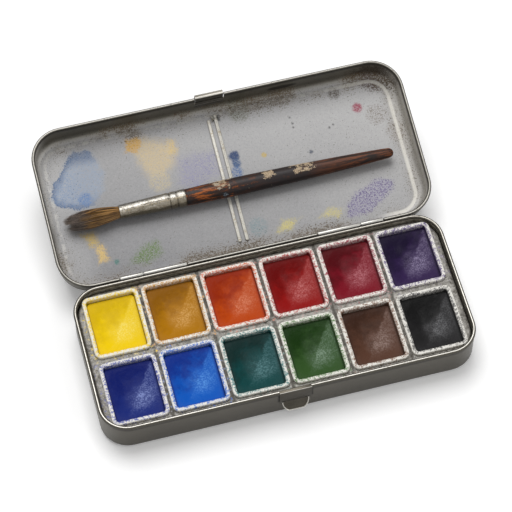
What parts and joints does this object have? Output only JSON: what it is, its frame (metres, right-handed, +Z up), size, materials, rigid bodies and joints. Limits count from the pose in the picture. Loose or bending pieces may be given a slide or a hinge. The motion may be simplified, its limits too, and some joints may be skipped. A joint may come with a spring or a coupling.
{
  "type": "tin watercolor set",
  "caption": "Pocket watercolour tin, open: hinged lid with mixing wells and a brush lying in it, half pans of dried paint in a lift-out tray.",
  "frame": {"origin": "centre of the base tin's flat underside", "axes": "+X along the tin's length, +Y from the front catch to the hinge, +Z up"},
  "size_m": [0.1122, 0.0976, 0.0238],
  "materials": {
    "tinplate": "satin, worn",
    "hinge_steel": "satin",
    "pan_plastic": "gloss, paint stained",
    "brush_ferrule": "satin, scratched",
    "brush_handle": "worn stain",
    "brush_hair": "dry hair",
    "paint_yellow": "dry watercolour cake, slightly glossy",
    "paint_ochre": "dry watercolour cake, slightly glossy",
    "paint_orange": "dry watercolour cake, slightly glossy",
    "paint_red": "dry watercolour cake, slightly glossy",
    "paint_crimson": "dry watercolour cake, slightly glossy",
    "paint_violet": "dry watercolour cake, slightly glossy",
    "paint_ultramarine": "dry watercolour cake, slightly glossy",
    "paint_blue": "dry watercolour cake, slightly glossy",
    "paint_teal": "dry watercolour cake, slightly glossy",
    "paint_green": "dry watercolour cake, slightly glossy",
    "paint_brown": "dry watercolour cake, slightly glossy",
    "paint_black": "dry watercolour cake, slightly glossy"
  },
  "bodies": {
    "base": {"base_tin": "tinplate", "front_catch": "tinplate", "base_hinge_left": "hinge_steel", "base_hinge_right": "hinge_steel", "hinge_pin_left": "hinge_steel", "hinge_pin_right": "hinge_steel"},
    "lid": {"lid_tin": "tinplate", "lid_clasp": "tinplate", "lid_hinge_left": "hinge_steel", "lid_hinge_right": "hinge_steel"},
    "tray": {"pan_tray": "tinplate"},
    "brush": {"brush_handle": "brush_handle", "brush_ferrule": "brush_ferrule", "brush_tuft": "brush_hair"},
    "half_pan_yellow": {"pan_yellow": "pan_plastic", "paint_yellow": "paint_yellow"},
    "half_pan_ochre": {"pan_ochre": "pan_plastic", "paint_ochre": "paint_ochre"},
    "half_pan_orange": {"pan_orange": "pan_plastic", "paint_orange": "paint_orange"},
    "half_pan_red": {"pan_red": "pan_plastic", "paint_red": "paint_red"},
    "half_pan_crimson": {"pan_crimson": "pan_plastic", "paint_crimson": "paint_crimson"},
    "half_pan_violet": {"pan_violet": "pan_plastic", "paint_violet": "paint_violet"},
    "half_pan_ultramarine": {"pan_ultramarine": "pan_plastic", "paint_ultramarine": "paint_ultramarine"},
    "half_pan_blue": {"pan_blue": "pan_plastic", "paint_blue": "paint_blue"},
    "half_pan_teal": {"pan_teal": "pan_plastic", "paint_teal": "paint_teal"},
    "half_pan_green": {"pan_green": "pan_plastic", "paint_green": "paint_green"},
    "half_pan_brown": {"pan_brown": "pan_plastic", "paint_brown": "paint_brown"},
    "half_pan_black": {"pan_black": "pan_plastic", "paint_black": "paint_black"}
  },
  "joints": [
    {"name": "lid_hinge", "type": "hinge", "parent": "base", "child": "lid", "pos_m": [0, 0.0242, 0.011], "axis": [-1, 0, 0], "range_deg": [-166, 0]},
    {"name": "tray_lift", "type": "slide", "parent": "base", "child": "tray", "axis": [0, 0, 1], "range_m": [0, 0.02]},
    {"name": "brush_lift", "type": "slide", "parent": "lid", "child": "brush", "axis": [0, -0.2419, 0.9703], "range_m": [0, 0.03]},
    {"name": "half_pan_yellow_lift", "type": "slide", "parent": "tray", "child": "half_pan_yellow", "axis": [0, 0, 1], "range_m": [0, 0.012]},
    {"name": "half_pan_ochre_lift", "type": "slide", "parent": "tray", "child": "half_pan_ochre", "axis": [0, 0, 1], "range_m": [0, 0.012]},
    {"name": "half_pan_orange_lift", "type": "slide", "parent": "tray", "child": "half_pan_orange", "axis": [0, 0, 1], "range_m": [0, 0.012]},
    {"name": "half_pan_red_lift", "type": "slide", "parent": "tray", "child": "half_pan_red", "axis": [0, 0, 1], "range_m": [0, 0.012]},
    {"name": "half_pan_crimson_lift", "type": "slide", "parent": "tray", "child": "half_pan_crimson", "axis": [0, 0, 1], "range_m": [0, 0.012]},
    {"name": "half_pan_violet_lift", "type": "slide", "parent": "tray", "child": "half_pan_violet", "axis": [0, 0, 1], "range_m": [0, 0.012]},
    {"name": "half_pan_ultramarine_lift", "type": "slide", "parent": "tray", "child": "half_pan_ultramarine", "axis": [0, 0, 1], "range_m": [0, 0.012]},
    {"name": "half_pan_blue_lift", "type": "slide", "parent": "tray", "child": "half_pan_blue", "axis": [0, 0, 1], "range_m": [0, 0.012]},
    {"name": "half_pan_teal_lift", "type": "slide", "parent": "tray", "child": "half_pan_teal", "axis": [0, 0, 1], "range_m": [0, 0.012]},
    {"name": "half_pan_green_lift", "type": "slide", "parent": "tray", "child": "half_pan_green", "axis": [0, 0, 1], "range_m": [0, 0.012]},
    {"name": "half_pan_brown_lift", "type": "slide", "parent": "tray", "child": "half_pan_brown", "axis": [0, 0, 1], "range_m": [0, 0.012]},
    {"name": "half_pan_black_lift", "type": "slide", "parent": "tray", "child": "half_pan_black", "axis": [0, 0, 1], "range_m": [0, 0.012]}
  ]
}
